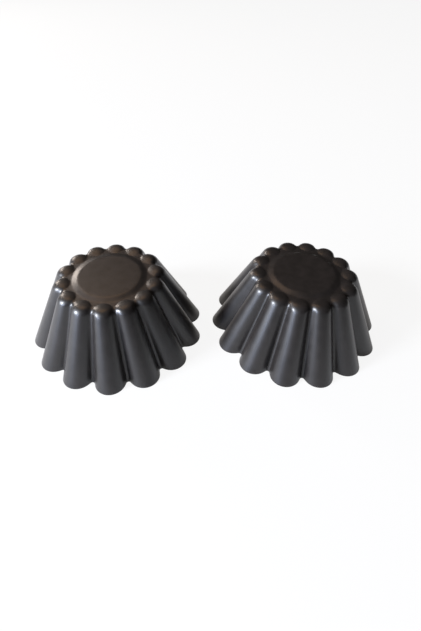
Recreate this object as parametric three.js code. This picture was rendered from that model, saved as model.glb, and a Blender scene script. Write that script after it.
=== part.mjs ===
// A pair of fluted baking moulds. Each is one pressing of coated steel sheet: a tapered cup whose
// round flutes end at the base in small domes, round a sunk ring and a raised flat disc.
// Both stand upside down on their open rims. Millimetres, +Z up, the rims stand on z = 0.

import * as THREE from 'three';

// One mould
const RIM_DIAMETER = 100; // over the flute crests at the rim
const BASE_DIAMETER = 58.4; // over the flute crests, carried on to the level of the base
const HEIGHT = 40.5; // rim to the tops of the flute domes
const SHEET = 0.5; // thickness of the steel

// Flutes
const FLUTE_COUNT = 14;
const RIM_FLUTE_DEPTH = 7.4; // crest to valley at the rim
const BASE_FLUTE_DEPTH = 3.1; // crest to valley, carried on to the level of the base
const RIM_VALLEY_RADIUS = 1.3; // outside fillet along a valley, at the rim
const BASE_VALLEY_RADIUS = 2; // and at the top of the wall
const SHOULDER_POWER = 0.85; // below 1 fills the flutes out, so that the valleys narrow towards the base
const TIP_POWER = 1.2; // above 1 thins the domes, so that the valleys open again towards the disc
const SHOULDER_RADIUS = 5.2; // round of a flute over the edge of the base
const VALLEY_END_RADIUS = 3.4; // round of a valley over the edge of the base

// Base
const TIP_RADIUS = 14; // round of a dome down towards the disc
const TIP_REACH = 2.4; // how far a dome's tip stands in from the creases beside it
const GROOVE_DEPTH = 1; // sunk ring below the dome tops
const GROOVE_WIDTH = 0.3; // flat of the sunk ring
const DOME_FOOT_RADIUS = 2.5; // fillet between a dome and the sunk ring
const BEVEL_WIDTH = 2.95; // slope from the sunk ring up to the disc
const DISC_RISE = 1; // disc above the sunk ring

// The pair
const PAIR_GAP = 6.6; // least distance between the two rims' crest circles
const PAIR_ANGLE = 4; // degrees that the right mould stands further back
const LEFT_TURN = 16; // degrees that each mould is turned about its own axis
const RIGHT_TURN = 0.5;

// Facets
const CREST_STEPS = 3; // on half a flute's crest arc
const VALLEY_STEPS = 2; // on half a valley's fillet
const SHOULDER_STEPS = 3; // over a dome's shoulder
const TIP_STEPS = 2; // down a dome's tip
const FOOT_STEPS = 1; // on the fillet at a dome's foot

const COATING = { color: 0x35322f, roughness: 0.42, metalness: 0.25 };

const rimRadius = RIM_DIAMETER / 2;
const baseRadius = BASE_DIAMETER / 2;
const grooveLevel = HEIGHT - GROOVE_DEPTH;
const halfPitch = Math.PI / FLUTE_COUNT;

/** Points of an arc, both ends included. Its angles are in radians about the centre. */
function arcPoints(centre, radius, from, to, steps) {
  const points = [];
  for (let i = 0; i <= steps; i += 1) {
    const angle = from + ((to - from) * i) / steps;
    points.push(new THREE.Vector2(radius, 0).rotateAround(new THREE.Vector2(), angle).add(centre));
  }
  return points;
}

/** Straight side of the cup from the rim to the base, in (radius, height), with its outward normal. */
function wallLine(radiusAtRim, radiusAtBase) {
  const lean = (radiusAtBase - radiusAtRim) / HEIGHT;
  return {
    start: new THREE.Vector2(radiusAtRim, 0),
    normal: new THREE.Vector2(1, -lean).normalize(),
    radiusAt: (height) => radiusAtRim + lean * height,
  };
}

/** Centre of a round that touches a wall line from inside and the given level from below. */
function roundCentre(wall, level, radius) {
  const height = level - radius;
  const touch = height + radius * wall.normal.y;
  return new THREE.Vector2(wall.radiusAt(touch) - radius * wall.normal.x, height);
}

/** Profile along a crest: up the wall, over the dome's shoulder and tip, and into the sunk ring. */
function crestProfile() {
  const wall = wallLine(rimRadius, baseRadius);
  const shoulder = roundCentre(wall, HEIGHT, SHOULDER_RADIUS);
  const tip = new THREE.Vector2(shoulder.x, HEIGHT - TIP_RADIUS);
  const reach = TIP_RADIUS + DOME_FOOT_RADIUS;
  const rise = grooveLevel + DOME_FOOT_RADIUS - tip.y;
  const foot = new THREE.Vector2(tip.x - Math.sqrt(reach * reach - rise * rise), tip.y + rise);
  const tipEnd = foot.clone().sub(tip).angle();
  const up = arcPoints(shoulder, SHOULDER_RADIUS, wall.normal.angle(), Math.PI / 2, SHOULDER_STEPS);
  const over = arcPoints(tip, TIP_RADIUS, Math.PI / 2, tipEnd, TIP_STEPS);
  const down = arcPoints(foot, DOME_FOOT_RADIUS, tipEnd - Math.PI, -Math.PI / 2, FOOT_STEPS);
  return [wall.start, ...up, ...over.slice(1), ...down.slice(1)];
}

/** Profile along a valley: up the wall, over the edge, and level with the sunk ring between the tips. */
function valleyProfile(crest) {
  const wall = wallLine(rimRadius - RIM_FLUTE_DEPTH, baseRadius - BASE_FLUTE_DEPTH);
  const edge = roundCentre(wall, grooveLevel, VALLEY_END_RADIUS);
  const over = arcPoints(edge, VALLEY_END_RADIUS, wall.normal.angle(), Math.PI / 2, SHOULDER_STEPS);
  const end = new THREE.Vector2(crest.at(-1).x + TIP_REACH, grooveLevel);
  const count = crest.length - over.length - 1;
  const level = Array.from({ length: count }, (_, i) => over.at(-1).clone().lerp(end, (i + 1) / count));
  return [wall.start, ...over, ...level];
}

/**
 * Half a flute's section as [angle, radius], from the crest's middle to the valley's middle.
 * The crest is one arc, tangent to the fillet along the valley.
 */
function halfSection(crestRadius, valleyRadius, filletRadius) {
  const fillet = new THREE.Vector2(valleyRadius + filletRadius, 0);
  fillet.rotateAround(new THREE.Vector2(), halfPitch);
  const depth = crestRadius - fillet.x;
  const square = depth * depth + fillet.y * fillet.y - filletRadius * filletRadius;
  const bow = square / (2 * (depth + filletRadius));
  const middle = new THREE.Vector2(crestRadius - bow, 0);
  const turn = fillet.clone().sub(middle).angle();
  const crest = arcPoints(middle, bow, 0, turn, CREST_STEPS);
  const valley = arcPoints(fillet, filletRadius, turn + Math.PI, halfPitch + Math.PI, VALLEY_STEPS);
  return [...crest, ...valley.slice(1)].map((point) => [point.angle(), point.length()]);
}

/** Share of the way from valley to crest for each angle once round the mould. */
function fluteShares(crestRadius, valleyRadius, filletRadius) {
  const half = halfSection(crestRadius, valleyRadius, filletRadius).map(([angle, radius]) => ({
    angle,
    share: Math.max((radius - valleyRadius) / (crestRadius - valleyRadius), 0),
  }));
  const mirrored = half.slice(1, -1).reverse();
  const flute = [...half, ...mirrored.map(({ angle, share }) => ({ angle: 2 * halfPitch - angle, share }))];
  const shares = [];
  for (let i = 0; i < FLUTE_COUNT; i += 1) {
    flute.forEach(({ angle, share }) => shares.push({ angle: angle + 2 * halfPitch * i, share }));
  }
  return shares;
}

/** One closed ring of the outer surface, between a crest point and a valley point of the profiles. */
function ring(crest, valley, shares, power) {
  return shares.map(({ angle, share }) => {
    const { x: radius, y: height } = valley.clone().lerp(crest, share ** power);
    return new THREE.Vector3(radius * Math.cos(angle), radius * Math.sin(angle), height);
  });
}

/** Rings of the outer surface from the rim to the edge of the disc. */
function outerRings() {
  const crest = crestProfile();
  const valley = valleyProfile(crest);
  const rimShares = fluteShares(crest[0].x, valley[0].x, RIM_VALLEY_RADIUS);
  const topShares = fluteShares(crest[1].x, valley[1].x, BASE_VALLEY_RADIUS);
  const rings = crest.map((point, i) => {
    if (i === 0) return ring(point, valley[i], rimShares, 1);
    const inwards = Math.max(i - SHOULDER_STEPS - 1, 0) / (TIP_STEPS + FOOT_STEPS);
    return ring(point, valley[i], topShares, THREE.MathUtils.lerp(SHOULDER_POWER, TIP_POWER, inwards));
  });
  const bevelFoot = new THREE.Vector2(crest.at(-1).x - GROOVE_WIDTH, grooveLevel);
  const discEdge = bevelFoot.clone().add(new THREE.Vector2(-BEVEL_WIDTH, DISC_RISE));
  return [...rings, ring(bevelFoot, bevelFoot, topShares, 1), ring(discEdge, discEdge, topShares, 1)];
}

/** Direction in which a line of points passes its middle one. */
function passing(before, at, after) {
  const arriving = at.clone().sub(before).normalize();
  const leaving = after.clone().sub(at).normalize();
  return arriving.add(leaving).normalize();
}

/** Rings of the inner surface, one sheet inside the outer ones. The rim's ring is cut level. */
function innerRings(rings, discCentre) {
  return rings.map((points, i) => points.map((at, j) => {
    const around = passing(points.at(j - 1), at, points[(j + 1) % points.length]);
    const above = i + 1 < rings.length ? rings[i + 1][j] : discCentre;
    const along = i === 0 ? above.clone().sub(at).normalize() : passing(rings[i - 1][j], at, above);
    const inside = at.clone().addScaledVector(around.cross(along).normalize(), -SHEET);
    return i === 0 ? inside.addScaledVector(along, -inside.z / along.z) : inside;
  }));
}

/** Closed sheet: outer rings up to the disc, inner rings back down, joined along the rim. */
function mouldGeometry() {
  const outer = outerRings();
  const discCentre = new THREE.Vector3(0, 0, grooveLevel + DISC_RISE);
  const inner = innerRings(outer, discCentre);
  const points = [...outer.flat(), ...inner.flat(), discCentre, discCentre.clone().setZ(discCentre.z - SHEET)];
  const count = outer[0].length;
  const triangles = [];
  const band = (lower, upper) => {
    for (let j = 0; j < count; j += 1) {
      const next = (j + 1) % count;
      triangles.push(lower + j, lower + next, upper + next, lower + j, upper + next, upper + j);
    }
  };
  const fan = (edge, centre, facesUp) => {
    for (let j = 0; j < count; j += 1) {
      const corners = [edge + j, edge + ((j + 1) % count)];
      triangles.push(...(facesUp ? corners : corners.reverse()), centre);
    }
  };
  const innerStart = outer.length * count;
  const centres = 2 * innerStart;
  for (let i = 0; i + 1 < outer.length; i += 1) {
    band(i * count, (i + 1) * count);
    band(innerStart + (i + 1) * count, innerStart + i * count);
  }
  band(innerStart, 0);
  fan(innerStart - count, centres, true);
  fan(centres - count, centres + 1, false);
  const geometry = new THREE.BufferGeometry().setFromPoints(points);
  geometry.setIndex(triangles);
  geometry.computeVertexNormals();
  return geometry;
}

/** One mould, standing on its rim at a place on the ground and turned about its own axis. */
function mould(name, place, turn) {
  const mesh = new THREE.Mesh(mouldGeometry(), new THREE.MeshStandardMaterial(COATING));
  mesh.name = name;
  mesh.position.set(place.x, place.y, 0);
  mesh.rotation.z = THREE.MathUtils.degToRad(turn);
  return mesh;
}

const halfSpacing = new THREE.Vector2((RIM_DIAMETER + PAIR_GAP) / 2, 0);
halfSpacing.rotateAround(new THREE.Vector2(), THREE.MathUtils.degToRad(PAIR_ANGLE));

const pair = new THREE.Group();
pair.add(mould('left_mould', halfSpacing.clone().negate(), LEFT_TURN));
pair.add(mould('right_mould', halfSpacing, RIGHT_TURN));

// The origin is the middle of the pair's footprint.
const footprint = new THREE.Box3().setFromObject(pair, true).getCenter(new THREE.Vector3());
pair.position.set(-footprint.x, -footprint.y, 0);

export default pair;
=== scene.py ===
"""A pair of fluted baking moulds in satin non-stick steel, standing upside down in a plain studio.

Each mould is one pressing of coated steel sheet. The pressing is modelled once: one flute is drawn
and raised row by row, turned round the mould's axis, closed over the base and given the thickness of
the sheet. Each mould is then a copy of it, set down where the frame has that mould.
Sizes are in millimetres where a class doesn't say otherwise, and MM turns them into Blender's metres.
"""

import logging
import math
from collections.abc import Callable, Iterator
from contextlib import contextmanager
from dataclasses import dataclass, field
from enum import Enum

import bmesh
import bpy
from mathutils import Matrix, Vector


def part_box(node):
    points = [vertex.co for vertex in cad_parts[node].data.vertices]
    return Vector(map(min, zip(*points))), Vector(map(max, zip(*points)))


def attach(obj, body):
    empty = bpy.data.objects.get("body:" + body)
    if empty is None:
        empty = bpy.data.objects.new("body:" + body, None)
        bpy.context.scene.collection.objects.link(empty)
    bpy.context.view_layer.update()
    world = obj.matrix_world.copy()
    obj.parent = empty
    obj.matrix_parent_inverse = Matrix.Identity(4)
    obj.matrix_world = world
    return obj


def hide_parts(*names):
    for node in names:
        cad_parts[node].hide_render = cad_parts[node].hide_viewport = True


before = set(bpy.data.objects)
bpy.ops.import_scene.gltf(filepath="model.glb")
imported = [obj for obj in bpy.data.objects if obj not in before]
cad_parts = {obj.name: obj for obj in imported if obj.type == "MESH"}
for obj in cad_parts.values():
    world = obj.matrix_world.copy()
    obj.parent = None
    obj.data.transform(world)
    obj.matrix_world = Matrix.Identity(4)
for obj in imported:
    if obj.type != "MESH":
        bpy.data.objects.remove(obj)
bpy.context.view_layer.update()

MM = 0.001
ORIGIN = (0.0, 0.0, 0.0)
UPRIGHT = (0.0, 0.0, 1.0)
# Points that are closer than this to each other, or to the floor, touch.
TOUCH = 0.01 * MM
# Points whose scales agree to this many digits are placed by one resize.
SCALE_DIGITS = 6
# Radius and height of a point of the pressing.
Spot = tuple[float, float]

log = logging.getLogger("moulds")


class Side(Enum):
    """The two moulds, by the side of the picture on which they stand."""

    LEFT = "left"
    RIGHT = "right"


class Seen(Enum):
    """Kinds of ray that see a stage surface as the white background."""

    CAMERA = "Is Camera Ray"
    GLOSSY = "Is Glossy Ray"
    TRANSMISSION = "Is Transmission Ray"


class LampForm(Enum):
    """Outlines of the studio lamps, by Blender's names."""

    BOX = "RECTANGLE"
    ROUND = "ELLIPSE"


def linear(hex_colour: str) -> tuple[float, float, float, float]:
    """Turn an sRGB colour into the linear one that shaders and lamps take.

    Args:
        hex_colour: The colour as "#rrggbb".

    Returns:
        Linear red, green and blue, and an alpha of 1.
    """
    shares = [int(hex_colour[i : i + 2], 16) / 255 for i in (1, 3, 5)]
    # The curve of the sRGB standard, which is straight near black.
    red, green, blue = (s / 12.92 if s <= 0.04045 else ((s + 0.055) / 1.055) ** 2.4 for s in shares)
    return red, green, blue, 1.0


def new_material(name: str) -> bpy.types.Material:
    """Start a material with an empty node tree.

    Args:
        name: The material's name.

    Returns:
        The material.
    """
    material = bpy.data.materials.new(name)
    material.use_nodes = True
    material.node_tree.nodes.clear()
    return material


def add_node(
    tree: bpy.types.NodeTree,
    kind: str,
    links: dict[str | int, bpy.types.NodeSocket] | None = None,
    **settings: object,
) -> bpy.types.Node:
    """Add one node to a tree, with its settings and the links into it.

    Args:
        tree: The node tree of a material or of the world.
        kind: Blender's name for the node type.
        links: The node's inputs, by name or number, each with the socket that feeds it.
        **settings: Values for the node's properties and, with spaces as underscores, its inputs.

    Returns:
        The new node.
    """
    node = tree.nodes.new(kind)
    for name, value in settings.items():
        if hasattr(node, name):
            setattr(node, name, value)
        else:
            node.inputs[name.replace("_", " ")].default_value = value
    for key, socket in (links or {}).items():
        tree.links.new(socket, node.inputs[key])
    return node


def select_only(piece: bpy.types.Object) -> None:
    """Deselect everything, then select one object and make it the active one.

    Args:
        piece: The object that the next operators act on.
    """
    bpy.ops.object.select_all(action="DESELECT")
    piece.select_set(True)
    bpy.context.view_layer.objects.active = piece


@contextmanager
def editing(piece: bpy.types.Object) -> Iterator[None]:
    """Hold a piece in edit mode for the length of a with block.

    Args:
        piece: The mesh object to edit.

    Yields:
        Nothing: operators in the block act on the piece.
    """
    select_only(piece)
    bpy.ops.object.mode_set(mode="EDIT")
    yield
    bpy.ops.object.mode_set(mode="OBJECT")


def pick(piece: bpy.types.Object, wanted: Callable[[bmesh.types.BMVert], bool]) -> None:
    """Select those vertices of an edited piece that pass a test, and no others.

    Args:
        piece: The mesh object, in edit mode.
        wanted: Says of a vertex whether it is selected.
    """
    cage = bmesh.from_edit_mesh(piece.data)
    for vertex in cage.verts:
        vertex.select = wanted(vertex)
    cage.select_flush_mode()
    bmesh.update_edit_mesh(piece.data)


def finish_with(piece: bpy.types.Object, kind: str, **settings: object) -> None:
    """Add a modifier to a piece and apply it.

    Args:
        piece: The mesh object, in object mode.
        kind: Blender's name for the modifier type.
        **settings: Values for the modifier's properties.
    """
    select_only(piece)
    modifier = piece.modifiers.new(kind.lower(), kind)
    for name, value in settings.items():
        setattr(modifier, name, value)
    bpy.ops.object.modifier_apply(modifier=modifier.name)


@dataclass(frozen=True)
class Wall:
    """A straight line of the tapered side, in radius and height, from the rim to the base's level."""

    rim_radius: float
    base_radius: float
    height: float

    @property
    def lean(self) -> float:
        """Angle of the wall's outward normal above the level, in radians."""
        return math.atan2(self.rim_radius - self.base_radius, self.height)

    def radius_at(self, height: float) -> float:
        """Radius of the wall at a height."""
        return self.rim_radius + (self.base_radius - self.rim_radius) * height / self.height

    def round_under(self, level: float, radius: float) -> Spot:
        """Find the round that joins the wall to a level.

        Args:
            level: Height of the level that the round ends on.
            radius: Radius of the round.

        Returns:
            Radius and height of the round's centre.
        """
        height = level - radius
        touch = height + radius * math.sin(self.lean)
        return self.radius_at(touch) - radius * math.cos(self.lean), height


@dataclass(frozen=True)
class FluteSection:
    """Level section of a flute: one crest arc, tangent to the fillets along both valleys.

    Its angles are in radians, about the mould's axis and from the middle of the crest.
    """

    crest: float
    valley: float
    fillet: float
    half_pitch: float

    @property
    def fillet_centre(self) -> Vector:
        """Centre of the fillet on the flute's left, from the mould's axis."""
        reach = self.valley + self.fillet
        return Vector((reach * math.cos(self.half_pitch), reach * math.sin(self.half_pitch), 0))

    @property
    def bow(self) -> float:
        """Work out how large the crest arc is, for it to touch both fillets.

        Returns:
            Radius of the crest arc.
        """
        depth = self.crest - self.fillet_centre.x
        square = depth**2 + self.fillet_centre.y**2 - self.fillet**2
        return square / (2 * (depth + self.fillet))

    @property
    def half_turn(self) -> float:
        """Half the angle of the crest arc about its own centre, up to where the fillet begins."""
        return math.atan2(self.fillet_centre.y, self.fillet_centre.x - (self.crest - self.bow))

    def radius_at(self, angle: float) -> float:
        """Find the section's radius in a direction from the mould's axis.

        Args:
            angle: Angle from the middle of the crest, within half a pitch.

        Returns:
            Distance from the axis to the section.
        """
        middle = self.crest - self.bow
        tangent = Vector((middle, 0, 0)).lerp(self.fillet_centre, self.bow / (self.bow + self.fillet))
        if abs(angle) <= math.atan2(tangent.y, tangent.x):
            return middle * math.cos(angle) + math.sqrt(self.bow**2 - (middle * math.sin(angle)) ** 2)
        off = self.half_pitch - abs(angle)
        reach = self.fillet_centre.length
        return reach * math.cos(off) - math.sqrt(max(self.fillet**2 - (reach * math.sin(off)) ** 2, 0))

    def share_at(self, angle: float) -> float:
        """Share of the way from valley to crest at an angle from the middle of the crest."""
        return max(self.radius_at(angle) - self.valley, 0) / (self.crest - self.valley)


@dataclass(frozen=True)
class FluteRow:
    """One row of points across a flute, between its place in the valleys and its place on the crest.

    Its section goes over from that of the rim to that of the shoulder by the share of the wall that
    it has climbed. A power below 1 makes the shoulder's section fuller, and one above 1 slimmer.
    """

    valley: Spot
    crest: Spot
    rim: FluteSection
    shoulder: FluteSection
    climbed: float
    power: float

    def spot_at(self, angle: float) -> Spot:
        """Find the row's point in a direction from the mould's axis.

        Args:
            angle: Angle from the middle of the crest, within half a pitch.

        Returns:
            Radius and height of the point.
        """
        full = self.shoulder.share_at(angle) ** self.power
        share = self.rim.share_at(angle) * (1 - self.climbed) + full * self.climbed
        radius = self.valley[0] + (self.crest[0] - self.valley[0]) * share
        height = self.valley[1] + (self.crest[1] - self.valley[1]) * share
        return radius, height


@dataclass
class Pressing:
    """The pressed form that both moulds share, upside down with its axis on the origin.

    Attributes:
        flutes: Number of flutes.
        rim_radius: Radius over the crests at the rim.
        base_radius: Radius over the crests where their line meets the level of the domes' tops.
        height: Height of the domes' tops above the rim.
        rim_depth: Depth of the valleys at the rim.
        base_depth: Depth of the valleys at the level of the domes' tops.
        valley_fillet: Fillet along the valleys at the rim.
        top_fillet: Fillet along the valleys at the shoulder.
        shoulder_power: Power of the flutes' section at the shoulder.
        tip_power: Power of the flutes' section at the inner end of the tips.
        shoulder_radius: Round of a dome where it leaves the wall.
        tip_radius: Flatter round of a dome, towards its tip.
        tip_reach: How much further in a tip reaches than the valleys beside it.
        valley_round: Round by which a valley turns over the edge of the base.
        groove_depth: Depth of the sunk ring under the domes' tops.
        groove_width: Width of the sunk ring, from the tips' feet to the bevel.
        foot_radius: Round at a tip's foot.
        bevel_width: Width of the bevel from the sunk ring up to the disc.
        disc_rise: Height of the disc over the sunk ring.
        edge_round: Round of the bevel's two edges.
        pole_radius: Radius of the last row on the disc, which is closed to a point.
        pole_margin: Room round that row when it is selected.
        sheet: Thickness of the sheet.
        rim_round: Size of the rim's broken edges.
        rim_segments: Number of faces across a broken edge.
        sharp_angle: Angle in degrees from which an edge is sharp.
        smoothing: Levels of subdivision that round the rows off.
        crest_steps: Steps across a crest arc.
        valley_steps: Steps across half a valley's fillet.
        wall_rows: Rows on the wall, as shares of its height.
        shoulder_steps: Steps over the shoulder's round.
        tip_steps: Steps over the tip's round.
        foot_steps: Steps over the round at a tip's foot.
        disc_rows: Rows on the disc, as shares of its radius.
        piece: The modelled sheet, once it is built.
    """

    flutes: int = 14
    rim_radius: float = 49.9
    base_radius: float = 29.15
    height: float = 40.45
    rim_depth: float = 7.4
    base_depth: float = 3.1
    valley_fillet: float = 1.3
    top_fillet: float = 2.0
    shoulder_power: float = 0.85
    tip_power: float = 1.2
    shoulder_radius: float = 5.2
    tip_radius: float = 14.0
    tip_reach: float = 2.4
    valley_round: float = 3.4
    groove_depth: float = 1.0
    groove_width: float = 0.3
    foot_radius: float = 2.5
    bevel_width: float = 2.95
    disc_rise: float = 1.0
    edge_round: float = 2.0
    pole_radius: float = 1.5
    pole_margin: float = 0.1
    sheet: float = 0.5
    rim_round: float = 0.12
    rim_segments: int = 2
    sharp_angle: float = 50.0
    smoothing: int = 1
    crest_steps: int = 12
    valley_steps: int = 3
    wall_rows: tuple[float, ...] = (0.03, 0.2, 0.4, 0.6, 0.8, 0.93)
    shoulder_steps: int = 6
    tip_steps: int = 6
    foot_steps: int = 3
    disc_rows: tuple[float, ...] = (0.92, 0.7, 0.4)
    piece: bpy.types.Object | None = field(default=None, init=False)

    @property
    def half_pitch(self) -> float:
        """Half the angle from one flute to the next, in radians."""
        return math.pi / self.flutes

    @property
    def groove_level(self) -> float:
        """Height of the sunk ring round the disc."""
        return self.height - self.groove_depth

    @property
    def crest_wall(self) -> Wall:
        """Straight line along a flute's crest."""
        return Wall(self.rim_radius, self.base_radius, self.height)

    @property
    def valley_wall(self) -> Wall:
        """Straight line along the valley between two flutes."""
        return Wall(self.rim_radius - self.rim_depth, self.base_radius - self.base_depth, self.height)

    def crest_rows(self) -> list[Spot]:
        """Work out the profile along a crest, over the dome's shoulder and tip and down its foot.

        Returns:
            Radius and height of each row, from the rim to the sunk ring.
        """
        wall = self.crest_wall
        shoulder = wall.round_under(self.height, self.shoulder_radius)
        tip = (shoulder[0], self.height - self.tip_radius)
        rise = self.groove_level + self.foot_radius - tip[1]
        run = math.sqrt((self.tip_radius + self.foot_radius) ** 2 - rise**2)
        tip_end = math.atan2(rise, -run)
        foot = (tip[0] - run, tip[1] + rise)
        up = self.arc(shoulder, self.shoulder_radius, wall.lean, math.pi / 2, self.shoulder_steps)
        over = self.arc(tip, self.tip_radius, math.pi / 2, tip_end, self.tip_steps)
        down = self.arc(foot, self.foot_radius, tip_end - math.pi, -math.pi / 2, self.foot_steps)
        return self.with_wall(wall, up + over[1:] + down[1:])

    def valley_rows(self) -> list[Spot]:
        """Work out the profile along a valley, row by row beside the crest's, and in between the tips.

        Returns:
            Radius and height of each row, from the rim to the sunk ring.
        """
        wall = self.valley_wall
        edge = wall.round_under(self.groove_level, self.valley_round)
        over = self.arc(edge, self.valley_round, wall.lean, math.pi / 2, self.shoulder_steps)
        steps = self.tip_steps + self.foot_steps
        run = self.crest_rows()[-1][0] + self.tip_reach - edge[0]
        level = [(edge[0] + run * i / steps, self.groove_level) for i in range(1, steps + 1)]
        return self.with_wall(wall, over + level)

    def base_rows(self) -> list[Spot]:
        """Work out the round rows from the sunk ring up the bevel and in over the disc.

        Returns:
            Radius and height of each row.
        """
        foot = self.crest_rows()[-1][0] - self.groove_width
        top = foot - self.bevel_width
        slope = math.atan2(self.disc_rise, self.bevel_width)
        soft = self.edge_round * math.tan(slope / 2)
        across, up = soft * math.cos(slope), soft * math.sin(slope)
        level = self.groove_level + self.disc_rise
        rows = [(foot + soft, self.groove_level), (foot - across, self.groove_level + up)]
        rows += [(top + across, level - up), (top - soft, level)]
        rows += [(top * share, level) for share in self.disc_rows]
        return rows + [(self.pole_radius, level)]

    def with_wall(self, wall: Wall, rows: list[Spot]) -> list[Spot]:
        """Put the straight wall's rows before those over the edge of the base.

        Args:
            wall: The wall's line.
            rows: Rows from the top of the wall on.

        Returns:
            All the rows, from the rim.
        """
        heights = [rows[0][1] * share for share in (0, *self.wall_rows)]
        return [(wall.radius_at(height), height) for height in heights] + rows

    @staticmethod
    def arc(centre: Spot, radius: float, start: float, end: float, steps: int) -> list[Spot]:
        """Place points evenly on an arc, both ends included.

        Args:
            centre: Radius and height of its centre.
            radius: Radius of the arc.
            start: Angle of its first point, in radians above the level.
            end: Angle of its last point.
            steps: Number of steps between them.

        Returns:
            Radius and height of each point.
        """
        angles = [start + (end - start) * i / steps for i in range(steps + 1)]
        return [(centre[0] + radius * math.cos(a), centre[1] + radius * math.sin(a)) for a in angles]

    def section(self, height: float, fillet: float) -> FluteSection:
        """Level section of a flute at a height of the wall, with a fillet along its valleys."""
        radii = self.crest_wall.radius_at(height), self.valley_wall.radius_at(height)
        return FluteSection(*radii, fillet, self.half_pitch)

    def flute_rows(self) -> list[FluteRow]:
        """Work out the rows of a flute above the rim, up the wall and over the dome.

        Returns:
            The rows, from the rim to the sunk ring.
        """
        valley, crest = self.valley_rows(), self.crest_rows()
        shoulder_row = len(self.wall_rows) + 1
        tip_row = shoulder_row + self.shoulder_steps
        inner_rows = self.tip_steps + self.foot_steps
        wall_top = crest[shoulder_row][1]
        rim = self.section(0, self.valley_fillet)
        shoulder = self.section(wall_top, self.top_fillet)
        rows = []
        for number, (low, high) in enumerate(zip(valley[1:], crest[1:]), start=1):
            climbed = min(high[1] / wall_top, 1)
            inwards = max(number - tip_row, 0) / inner_rows
            power = self.shoulder_power + (self.tip_power - self.shoulder_power) * inwards
            rows.append(FluteRow(low, high, rim, shoulder, climbed, power))
        return rows

    def build(self) -> bpy.types.Object:
        """Model the pressing.

        Returns:
            The finished sheet, standing on its rim round the origin.
        """
        bpy.ops.object.select_all(action="DESELECT")
        bpy.ops.mesh.primitive_plane_add(size=self.sheet * MM, location=ORIGIN)
        self.piece = bpy.context.active_object
        with editing(self.piece):
            self.draw_rim()
            self.raise_flute()
            self.turn_flutes()
        finish_with(self.piece, "SUBSURF", levels=self.smoothing, render_levels=self.smoothing)
        with editing(self.piece):
            self.close_disc()
        # The sheet grows inwards, so the drawn face stays the outside.
        finish_with(self.piece, "SOLIDIFY", thickness=self.sheet * MM, offset=-1, use_even_offset=True)
        with editing(self.piece):
            self.trim_rim()
        bpy.ops.object.shade_smooth_by_angle(angle=math.radians(self.sharp_angle))
        return self.piece

    def draw_rim(self) -> None:
        """Draw one flute's section at the rim, by spinning a point about each arc's centre."""
        section = self.section(0, self.valley_fillet)
        middle = Vector((section.crest - section.bow, 0, 0))
        fillet = section.fillet_centre
        mirrored = Vector((fillet.x, -fillet.y, 0))
        start = mirrored.normalized() * section.valley
        bend = section.half_turn - self.half_pitch
        bpy.ops.mesh.select_all(action="SELECT")
        bpy.ops.mesh.merge(type="CENTER")
        bpy.ops.transform.translate(value=start * MM)
        # A positive angle spins clockwise, seen from above.
        for centre, turn, steps in (
            (mirrored, bend, self.valley_steps),
            (middle, -2 * section.half_turn, self.crest_steps),
            (fillet, bend, self.valley_steps),
        ):
            bpy.ops.mesh.spin(steps=steps, angle=turn, center=centre * MM, axis=UPRIGHT)
        bpy.ops.mesh.select_all(action="SELECT")

    def raise_flute(self) -> None:
        """Extrude the section row by row: up the wall, over the dome, and in over the base."""
        for row in self.flute_rows():
            self.raise_row(row.spot_at)
        for spot in self.base_rows():
            self.raise_row(lambda angle: spot)

    def raise_row(self, place: Callable[[float], Spot]) -> None:
        """Extrude the selected row, then scale its points about the rim's middle to their places.

        Args:
            place: Gives the radius and height for an angle from the middle of the crest.
        """
        # A lift off the floor gives each new point a height that can be scaled.
        bpy.ops.mesh.extrude_region_move(TRANSFORM_OT_translate={"value": (0, 0, MM)})
        cage = bmesh.from_edit_mesh(self.piece.data)
        cage.verts.index_update()
        scales: dict[tuple[float, float], set[int]] = {}
        for vertex in cage.verts:
            if vertex.select:
                radius, height = place(math.atan2(vertex.co.y, vertex.co.x))
                spread, rise = radius * MM / vertex.co.xy.length, height * MM / vertex.co.z
                scale = round(spread, SCALE_DIGITS), round(rise, SCALE_DIGITS)
                scales.setdefault(scale, set()).add(vertex.index)
        for (spread, rise), points in scales.items():
            pick(self.piece, lambda vertex: vertex.index in points)
            bpy.ops.transform.resize(value=(spread, spread, rise), center_override=ORIGIN)
        row = set().union(*scales.values())
        pick(self.piece, lambda vertex: vertex.index in row)

    def turn_flutes(self) -> None:
        """Turn the flute round the axis into all the others and join them."""
        others = self.flutes - 1
        bpy.ops.mesh.select_all(action="SELECT")
        bpy.ops.mesh.spin(
            steps=others,
            dupli=True,
            angle=2 * self.half_pitch * others,
            center=ORIGIN,
            axis=UPRIGHT,
        )
        bpy.ops.mesh.select_all(action="SELECT")
        bpy.ops.mesh.remove_doubles(threshold=TOUCH)

    def close_disc(self) -> None:
        """Draw the middle of the disc in to one point, and turn every face outwards."""
        reach = (self.pole_radius + self.pole_margin) * MM
        pick(self.piece, lambda vertex: vertex.co.xy.length < reach)
        bpy.ops.mesh.extrude_region_move()
        bpy.ops.mesh.merge(type="CENTER")
        bpy.ops.mesh.select_all(action="SELECT")
        bpy.ops.mesh.normals_make_consistent(inside=False)

    def trim_rim(self) -> None:
        """Cut the rim level, as it is trimmed after pressing, and break its two edges."""
        pick(self.piece, lambda vertex: vertex.co.z < TOUCH)
        bpy.ops.transform.resize(value=(1, 1, 0), center_override=ORIGIN)
        bpy.ops.mesh.select_all(action="DESELECT")
        bpy.ops.mesh.select_mode(type="EDGE")
        bpy.ops.mesh.edges_select_sharp(sharpness=math.radians(self.sharp_angle))
        bpy.ops.mesh.bevel(offset=self.rim_round * MM, segments=self.rim_segments)
        bpy.ops.mesh.select_mode(type="VERT")


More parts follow.
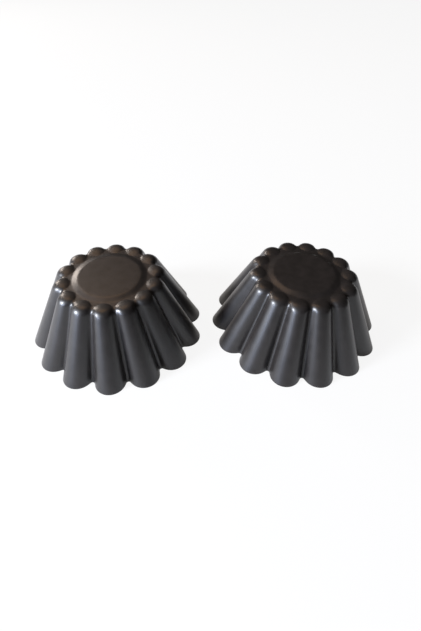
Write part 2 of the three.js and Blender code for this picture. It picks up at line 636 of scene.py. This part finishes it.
@dataclass(frozen=True)
class NonstickSteel:
    """Pressed steel with a sprayed and baked non-stick coat.

    The coat has two layers: a dark, warm graphite with a satin gloss, and a thinner, clearer top layer
    that puts a brighter core in each highlight. Both are rich in PTFE, which has an IOR of about 1.38.
    Spraying leaves a fine orange peel, and the bake leaves the tone and the gloss a little uneven.
    The grain of such a coat is under 0.1 mm and too fine to show, so it is drawn coarser.

    Attributes:
        name: Name of the material.
        dark: Darkest tone of the coat.
        light: Lightest tone of the coat.
        ior: IOR of both layers.
        base_shine: Specular level of the satin layer, where 0.5 is what the IOR gives.
        rough_low: Lowest roughness of the satin layer.
        rough_high: Highest roughness of the satin layer.
        top_weight: Share of the surface that the top layer covers.
        top_rough: Roughness of the top layer.
        mottle: Size of the patches of uneven tone and gloss.
        mottle_detail: Octaves of noise in those patches.
        tone_span: Noise values at which the tone is darkest and lightest.
        rough_span: Noise values at which the roughness is lowest and highest.
        peel: Size of the orange peel.
        peel_height: Height of the orange peel.
        grain: Size of the grain.
        grain_height: Height of the grain.
        relief_detail: Octaves of noise in the orange peel and the grain.
    """

    name: str = "satin_nonstick_steel"
    dark: str = "#181513"
    light: str = "#1f1b19"
    ior: float = 1.38
    base_shine: float = 0.8
    rough_low: float = 0.42
    rough_high: float = 0.46
    top_weight: float = 0.55
    top_rough: float = 0.28
    mottle: float = 5.0
    mottle_detail: float = 3.0
    tone_span: tuple[float, float] = (0.35, 0.65)
    rough_span: tuple[float, float] = (0.3, 0.7)
    peel: float = 0.9
    peel_height: float = 0.024
    grain: float = 0.3
    grain_height: float = 0.004
    relief_detail: float = 1.0

    def material(self) -> bpy.types.Material:
        """Make the material.

        Returns:
            The material, with its nodes.
        """
        material = new_material(self.name)
        tree = material.node_tree
        place = add_node(tree, "ShaderNodeTexCoord").outputs["Object"]
        # Noise repeats about once per unit, here a metre, so a pattern's scale is 1 / its size in metres.
        mottle = add_node(
            tree,
            "ShaderNodeTexNoise",
            {"Vector": place},
            Scale=1 / (self.mottle * MM),
            Detail=self.mottle_detail,
        ).outputs["Fac"]
        tone = add_node(tree, "ShaderNodeValToRGB", {"Fac": mottle})
        for stop, at, colour in zip(tone.color_ramp.elements, self.tone_span, (self.dark, self.light)):
            stop.position = at
            stop.color = linear(colour)
        rough = add_node(
            tree,
            "ShaderNodeMapRange",
            {"Value": mottle},
            From_Min=self.rough_span[0],
            From_Max=self.rough_span[1],
            To_Min=self.rough_low,
            To_Max=self.rough_high,
        )
        normal = self.relief(tree, place)
        shader = add_node(
            tree,
            "ShaderNodeBsdfPrincipled",
            {
                "Base Color": tone.outputs["Color"],
                "Roughness": rough.outputs["Result"],
                "Normal": normal,
                "Coat Normal": normal,
            },
            IOR=self.ior,
            Specular_IOR_Level=self.base_shine,
            Coat_Weight=self.top_weight,
            Coat_Roughness=self.top_rough,
            Coat_IOR=self.ior,
        )
        add_node(tree, "ShaderNodeOutputMaterial", {"Surface": shader.outputs["BSDF"]})
        return material

    def relief(self, tree: bpy.types.NodeTree, place: bpy.types.NodeSocket) -> bpy.types.NodeSocket:
        """Raise the orange peel and, on top of it, the grain.

        Args:
            tree: The material's node tree.
            place: The socket that gives a point's place on the mould.

        Returns:
            The socket that gives the surface's normal.
        """
        normal = None
        for size, height in ((self.peel, self.peel_height), (self.grain, self.grain_height)):
            noise = add_node(
                tree,
                "ShaderNodeTexNoise",
                {"Vector": place},
                Scale=1 / (size * MM),
                Detail=self.relief_detail,
            )
            links: dict[str | int, bpy.types.NodeSocket] = {"Height": noise.outputs["Fac"]}
            if normal:
                links["Normal"] = normal
            bump = add_node(tree, "ShaderNodeBump", links, Strength=1.0, Distance=height * MM)
            normal = bump.outputs["Normal"]
        return normal


@dataclass
class Mould:
    """One of the pair: a copy of the pressing where the frame has its node.

    Attributes:
        side: The side on which the mould stands.
        turn: Turn of the mould about its axis, in degrees from +X towards +Y.
        piece: The mould's object, once it is built.
    """

    side: Side
    turn: float
    piece: bpy.types.Object | None = field(default=None, init=False)

    @property
    def node(self) -> str:
        """Name of the CAD node that the mould stands for."""
        return f"{self.side.value}_mould"

    def build(self, pressing: Pressing) -> bpy.types.Object:
        """Copy the pressing, turn it and set it down.

        Args:
            pressing: The pressing, already built.

        Returns:
            The mould, with its place in its mesh.
        """
        low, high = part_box(self.node)
        centre = (low + high) / 2
        select_only(pressing.piece)
        bpy.ops.object.duplicate(linked=False)
        self.piece = bpy.context.active_object
        self.piece.name = f"{self.side.value}_pressed_mould"
        self.piece.data.name = self.piece.name
        with editing(self.piece):
            bpy.ops.mesh.select_all(action="SELECT")
            # With no window, a positive angle turns clockwise.
            bpy.ops.transform.rotate(
                value=-math.radians(self.turn), orient_axis="Z", center_override=ORIGIN
            )
            bpy.ops.transform.translate(value=(centre.x, centre.y, low.z))
        return self.piece

    def dress(self, coat: bpy.types.Material) -> None:
        """Give the mould its coat and tie it to the frame.

        Args:
            coat: The coat's material.
        """
        self.piece.data.materials.clear()
        self.piece.data.materials.append(coat)
        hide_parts(self.node)
        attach(self.piece, self.side.value)


@dataclass(frozen=True)
class Lamp:
    """A soft lamp, aimed at the middle of the pair.

    Its azimuth is in degrees from +X towards +Y and its elevation in degrees above the floor. Its
    width, height and distance are in metres, and its power is in watts.
    """

    name: str
    azimuth: float
    elevation: float
    width: float
    height: float
    power: float
    colour: str
    form: LampForm = LampForm.ROUND
    distance: float = 1.2

    @property
    def place(self) -> Vector:
        """Work out where the lamp hangs.

        Returns:
            Place of the lamp, from the middle of the pair's footprint.
        """
        around, up = math.radians(self.azimuth), math.radians(self.elevation)
        across = math.cos(up)
        return self.distance * Vector((across * math.cos(around), across * math.sin(around), math.sin(up)))

    def build(self) -> bpy.types.Object:
        """Hang the lamp.

        Returns:
            The lamp.
        """
        turn = (-self.place).to_track_quat("-Z", "Y").to_euler()
        bpy.ops.object.light_add(type="AREA", location=self.place, rotation=turn)
        lamp = bpy.context.active_object
        lamp.name = self.name
        lamp.data.shape = self.form.value
        lamp.data.size, lamp.data.size_y = self.width, self.height
        lamp.data.energy = self.power
        lamp.data.color = linear(self.colour)[:3]
        return lamp


@dataclass(frozen=True)
class MattFloor:
    """Matt white board, rolled flat: an even pale ground that takes soft shadows and has no gloss.

    For the rays that show the floor as a background, a share of pure white is mixed in. It stays below
    1, so that the moulds' shadow still shows, on the floor and in reflections of it.

    Attributes:
        name: Name of the material.
        colour: Colour of the board.
        camera_glow: Share of white for the camera.
        mirrored_glow: Share of white for reflected and transmitted rays.
    """

    name: str = "matt_white_floor"
    colour: str = "#e6e6e6"
    camera_glow: float = 0.9
    mirrored_glow: float = 0.5

    def material(self) -> bpy.types.Material:
        """Make the material.

        Returns:
            The material, with its nodes.
        """
        material = new_material(self.name)
        tree = material.node_tree
        matt = add_node(tree, "ShaderNodeBsdfDiffuse", Color=linear(self.colour))
        white = add_node(tree, "ShaderNodeEmission", Strength=1.0)
        rays = add_node(tree, "ShaderNodeLightPath").outputs
        share = None
        for kind in Seen:
            ray = add_node(tree, "ShaderNodeMath", {0: rays[kind.value]}, operation="MULTIPLY_ADD")
            ray.inputs[1].default_value = self.camera_glow if kind is Seen.CAMERA else self.mirrored_glow
            ray.inputs[2].default_value = 0.0
            if share:
                tree.links.new(share, ray.inputs[2])
            share = ray.outputs["Value"]
        mixed = add_node(
            tree,
            "ShaderNodeMixShader",
            {"Fac": share, 1: matt.outputs["BSDF"], 2: white.outputs["Emission"]},
        )
        add_node(tree, "ShaderNodeOutputMaterial", {"Surface": mixed.outputs["Shader"]})
        return material


@dataclass
class Studio:
    """A pale floor, soft light from the left and the photograph's camera.

    Attributes:
        floor: Finish of the floor.
        floor_size: Length of the floor's sides, in metres.
        room_colour: Colour of the light that fills the room.
        room_strength: Strength of that light.
        camera_place: Place of the camera.
        camera_dip: Angle of the camera below the level, in degrees.
        camera_roll: Roll of the camera about its line of sight, in degrees.
        camera_near: Shortest distance that the camera sees, in metres.
        focal_pixels: Focal length, in pixels of the photograph.
        frame_height: Height of the photograph, in pixels.
        lamps: The lamps.
    """

    floor: MattFloor = MattFloor()
    floor_size: float = 6.0
    room_colour: str = "#8f8b88"
    room_strength: float = 0.15
    camera_place: tuple[float, float, float] = (1.7, -166.1, 183.2)
    camera_dip: float = 46.56
    camera_roll: float = 1.69
    camera_near: float = 0.01
    focal_pixels: float = 399.1
    frame_height: int = 631
    lamps: tuple[Lamp, ...] = (
        Lamp("window_lamp", azimuth=202, elevation=28, width=0.34, height=0.34, power=32.0, colour="#eef4ff"),
        Lamp("door_lamp", azimuth=222, elevation=18, width=0.5, height=0.4, power=8.0, colour="#ccdcff"),
        Lamp("back_lamp", azimuth=135, elevation=22, width=0.34, height=0.42, power=5.0, colour="#fff0e4"),
        Lamp(
            "high_lamp",
            azimuth=130,
            elevation=62,
            width=0.6,
            height=0.6,
            power=2.0,
            colour="#ffcb98",
            form=LampForm.BOX,
        ),
    )

    def build(self) -> None:
        """Set up the floor, the room's light, the lamps and the camera."""
        self.lay_floor()
        self.light_room()
        for lamp in self.lamps:
            lamp.build()
        self.set_camera()

    def lay_floor(self) -> None:
        """Lay the floor, which takes shadows and looks white to the camera."""
        bpy.ops.object.select_all(action="DESELECT")
        bpy.ops.mesh.primitive_plane_add(size=self.floor_size, location=ORIGIN)
        floor = bpy.context.active_object
        floor.name = "studio_floor"
        floor.data.materials.append(self.floor.material())

    def light_room(self) -> None:
        """Fill the room with dim, even light."""
        world = bpy.data.worlds.new("studio_room")
        bpy.context.scene.world = world
        world.use_nodes = True
        world.node_tree.nodes.clear()
        room = add_node(
            world.node_tree,
            "ShaderNodeBackground",
            Color=linear(self.room_colour),
            Strength=self.room_strength,
        )
        add_node(world.node_tree, "ShaderNodeOutputWorld", {"Surface": room.outputs["Background"]})

    def set_camera(self) -> None:
        """Put the camera where the photograph was taken from."""
        camera = bpy.data.cameras.new("photo_camera")
        # The sensor's width spans the longer side of the frame, which is its height.
        camera.lens = camera.sensor_width * self.focal_pixels / self.frame_height
        camera.clip_start = self.camera_near
        holder = bpy.data.objects.new("photo_camera", camera)
        bpy.context.scene.collection.objects.link(holder)
        holder.matrix_world = (
            Matrix.Translation(Vector(self.camera_place) * MM)
            @ Matrix.Rotation(math.radians(90 - self.camera_dip), 4, "X")
            @ Matrix.Rotation(math.radians(self.camera_roll), 4, "Z")
        )
        bpy.context.scene.camera = holder


def main() -> None:
    """Build the moulds and the studio, and log each mould's number of faces."""
    logging.basicConfig(level=logging.INFO, format="%(name)s: %(message)s")
    pressing = Pressing()
    pressing.build()
    coat = NonstickSteel().material()
    for mould in (Mould(Side.LEFT, turn=16.0), Mould(Side.RIGHT, turn=0.5)):
        piece = mould.build(pressing)
        mould.dress(coat)
        log.info("%s: %d faces", piece.name, len(piece.data.polygons))
    bpy.data.objects.remove(pressing.piece)
    Studio().build()
    bpy.context.scene.view_settings.view_transform = "Standard"


if __name__ == "__main__":
    main()
